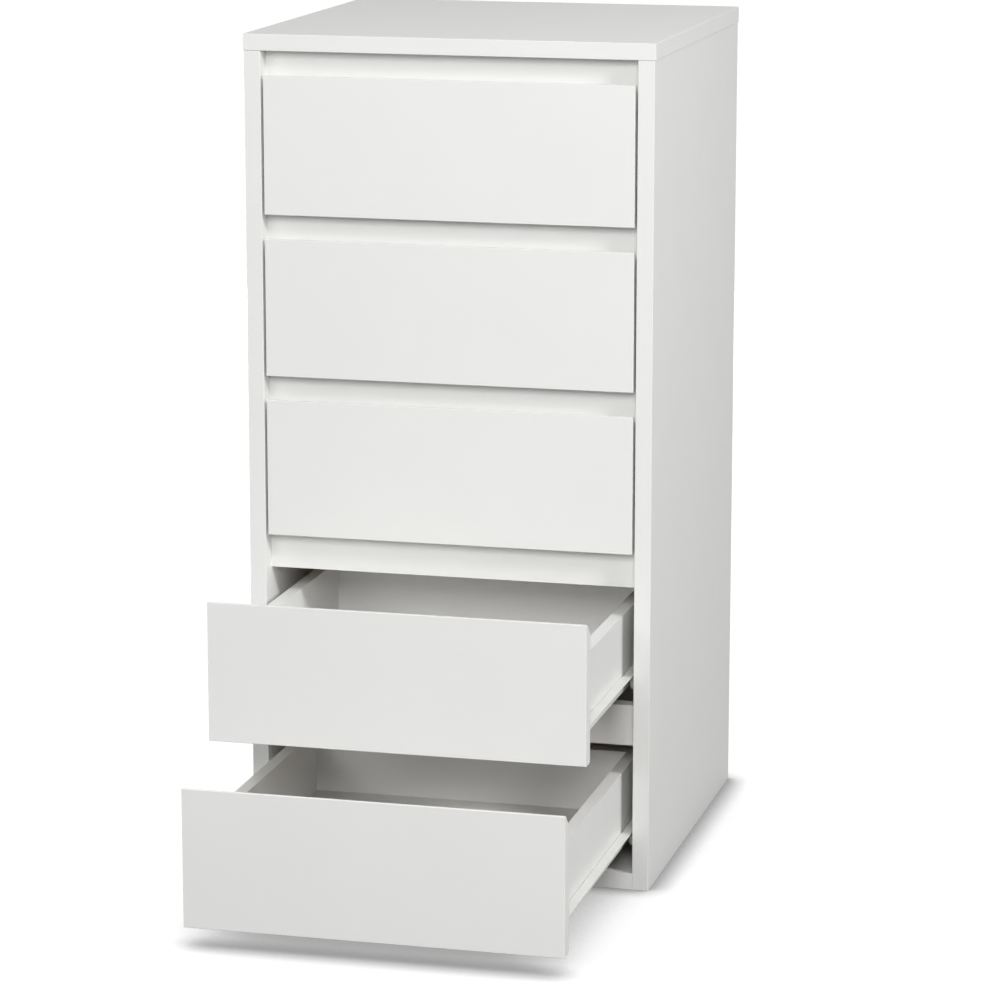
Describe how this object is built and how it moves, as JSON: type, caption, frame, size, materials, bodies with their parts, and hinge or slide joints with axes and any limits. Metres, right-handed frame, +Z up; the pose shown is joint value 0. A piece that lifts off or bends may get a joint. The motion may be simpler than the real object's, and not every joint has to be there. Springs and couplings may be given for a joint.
{
  "type": "craft paper drawer chest",
  "caption": "Free-standing chest of equal handle-free drawers on roller runners for large craft paper, with bevelled fronts over recessed finger gaps.",
  "frame": {"origin": "middle of the carcass footprint, on the floor under the bottom panel", "axes": "+X to the right seen from the front, +Y to the back (the drawers open towards -Y), +Z up"},
  "size_m": [0.402, 0.677, 0.82],
  "materials": {
    "white_melamine": "white melamine-faced particle board, satin, with matching edging",
    "white_hardboard": "white painted hardboard, satin",
    "white_runner_steel": "cream white epoxy powder coat, semi-gloss",
    "nylon_roller": "moulded nylon, pale grey",
    "zinc_fittings": "zinc plated",
    "beech_dowel": "plain beech"
  },
  "bodies": {
    "carcass": {"top_panel": "white_melamine", "left_side_panel": "white_melamine", "right_side_panel": "white_melamine", "bottom_panel": "white_melamine", "back_panel": "white_hardboard", "rail_over_drawer_1": "white_melamine", "rail_over_drawer_2": "white_melamine", "rail_over_drawer_3": "white_melamine", "rail_over_drawer_4": "white_melamine", "rail_over_drawer_5": "white_melamine", "left_carcass_runners": "white_runner_steel", "right_carcass_runners": "white_runner_steel", "runner_screws": "zinc_fittings", "cam_fittings": "zinc_fittings", "dowels": "beech_dowel"},
    "drawer_1": {"drawer_1_front": "white_melamine", "drawer_1_left_side": "white_melamine", "drawer_1_right_side": "white_melamine", "drawer_1_back": "white_melamine", "drawer_1_bottom": "white_hardboard", "drawer_1_runners": "white_runner_steel", "drawer_1_fixings": "zinc_fittings"},
    "drawer_1_rollers": {"drawer_1_rollers": "nylon_roller"},
    "carcass_rollers_1": {"carcass_rollers_1": "nylon_roller"},
    "drawer_2": {"drawer_2_front": "white_melamine", "drawer_2_left_side": "white_melamine", "drawer_2_right_side": "white_melamine", "drawer_2_back": "white_melamine", "drawer_2_bottom": "white_hardboard", "drawer_2_runners": "white_runner_steel", "drawer_2_fixings": "zinc_fittings"},
    "drawer_2_rollers": {"drawer_2_rollers": "nylon_roller"},
    "carcass_rollers_2": {"carcass_rollers_2": "nylon_roller"},
    "drawer_3": {"drawer_3_front": "white_melamine", "drawer_3_left_side": "white_melamine", "drawer_3_right_side": "white_melamine", "drawer_3_back": "white_melamine", "drawer_3_bottom": "white_hardboard", "drawer_3_runners": "white_runner_steel", "drawer_3_fixings": "zinc_fittings"},
    "drawer_3_rollers": {"drawer_3_rollers": "nylon_roller"},
    "carcass_rollers_3": {"carcass_rollers_3": "nylon_roller"},
    "drawer_4": {"drawer_4_front": "white_melamine", "drawer_4_left_side": "white_melamine", "drawer_4_right_side": "white_melamine", "drawer_4_back": "white_melamine", "drawer_4_bottom": "white_hardboard", "drawer_4_runners": "white_runner_steel", "drawer_4_fixings": "zinc_fittings"},
    "drawer_4_rollers": {"drawer_4_rollers": "nylon_roller"},
    "carcass_rollers_4": {"carcass_rollers_4": "nylon_roller"},
    "drawer_5": {"drawer_5_front": "white_melamine", "drawer_5_left_side": "white_melamine", "drawer_5_right_side": "white_melamine", "drawer_5_back": "white_melamine", "drawer_5_bottom": "white_hardboard", "drawer_5_runners": "white_runner_steel", "drawer_5_fixings": "zinc_fittings"},
    "drawer_5_rollers": {"drawer_5_rollers": "nylon_roller"},
    "carcass_rollers_5": {"carcass_rollers_5": "nylon_roller"}
  },
  "joints": [
    {"name": "drawer_1_slide", "type": "slide", "parent": "carcass", "child": "drawer_1", "axis": [0, -1, 0], "range_m": [0, 0.275]},
    {"name": "drawer_1_roller_spin", "type": "hinge", "parent": "drawer_1", "child": "drawer_1_rollers", "pos_m": [0, 0.1515, 0.6712], "axis": [1, 0, 0], "continuous": true},
    {"name": "carcass_roller_1_spin", "type": "hinge", "parent": "carcass", "child": "carcass_rollers_1", "pos_m": [0, -0.1725, 0.6732], "axis": [1, 0, 0], "continuous": true},
    {"name": "drawer_2_slide", "type": "slide", "parent": "carcass", "child": "drawer_2", "axis": [0, -1, 0], "range_m": [0, 0.275]},
    {"name": "drawer_2_roller_spin", "type": "hinge", "parent": "drawer_2", "child": "drawer_2_rollers", "pos_m": [0, 0.1515, 0.5141], "axis": [1, 0, 0], "continuous": true},
    {"name": "carcass_roller_2_spin", "type": "hinge", "parent": "carcass", "child": "carcass_rollers_2", "pos_m": [0, -0.1725, 0.5161], "axis": [1, 0, 0], "continuous": true},
    {"name": "drawer_3_slide", "type": "slide", "parent": "carcass", "child": "drawer_3", "axis": [0, -1, 0], "range_m": [0, 0.275]},
    {"name": "drawer_3_roller_spin", "type": "hinge", "parent": "drawer_3", "child": "drawer_3_rollers", "pos_m": [0, 0.1515, 0.357], "axis": [1, 0, 0], "continuous": true},
    {"name": "carcass_roller_3_spin", "type": "hinge", "parent": "carcass", "child": "carcass_rollers_3", "pos_m": [0, -0.1725, 0.359], "axis": [1, 0, 0], "continuous": true},
    {"name": "drawer_4_slide", "type": "slide", "parent": "carcass", "child": "drawer_4", "axis": [0, -1, 0], "range_m": [-0.19, 0.085]},
    {"name": "drawer_4_roller_spin", "type": "hinge", "parent": "drawer_4", "child": "drawer_4_rollers", "pos_m": [0, -0.0385, 0.1999], "axis": [1, 0, 0], "continuous": true},
    {"name": "carcass_roller_4_spin", "type": "hinge", "parent": "carcass", "child": "carcass_rollers_4", "pos_m": [0, -0.1725, 0.2019], "axis": [1, 0, 0], "continuous": true},
    {"name": "drawer_5_slide", "type": "slide", "parent": "carcass", "child": "drawer_5", "axis": [0, -1, 0], "range_m": [-0.272, 0.003]},
    {"name": "drawer_5_roller_spin", "type": "hinge", "parent": "drawer_5", "child": "drawer_5_rollers", "pos_m": [0, -0.1205, 0.0428], "axis": [1, 0, 0], "continuous": true},
    {"name": "carcass_roller_5_spin", "type": "hinge", "parent": "carcass", "child": "carcass_rollers_5", "pos_m": [0, -0.1725, 0.0448], "axis": [1, 0, 0], "continuous": true}
  ],
  "couplings": [
    {"joint": "drawer_1_roller_spin", "follows": "drawer_1_slide", "rad_per_m": 114.94},
    {"joint": "carcass_roller_1_spin", "follows": "drawer_1_slide", "rad_per_m": 114.94},
    {"joint": "drawer_2_roller_spin", "follows": "drawer_2_slide", "rad_per_m": 114.94},
    {"joint": "carcass_roller_2_spin", "follows": "drawer_2_slide", "rad_per_m": 114.94},
    {"joint": "drawer_3_roller_spin", "follows": "drawer_3_slide", "rad_per_m": 114.94},
    {"joint": "carcass_roller_3_spin", "follows": "drawer_3_slide", "rad_per_m": 114.94},
    {"joint": "drawer_4_roller_spin", "follows": "drawer_4_slide", "rad_per_m": 114.94},
    {"joint": "carcass_roller_4_spin", "follows": "drawer_4_slide", "rad_per_m": 114.94},
    {"joint": "drawer_5_roller_spin", "follows": "drawer_5_slide", "rad_per_m": 114.94},
    {"joint": "carcass_roller_5_spin", "follows": "drawer_5_slide", "rad_per_m": 114.94}
  ]
}
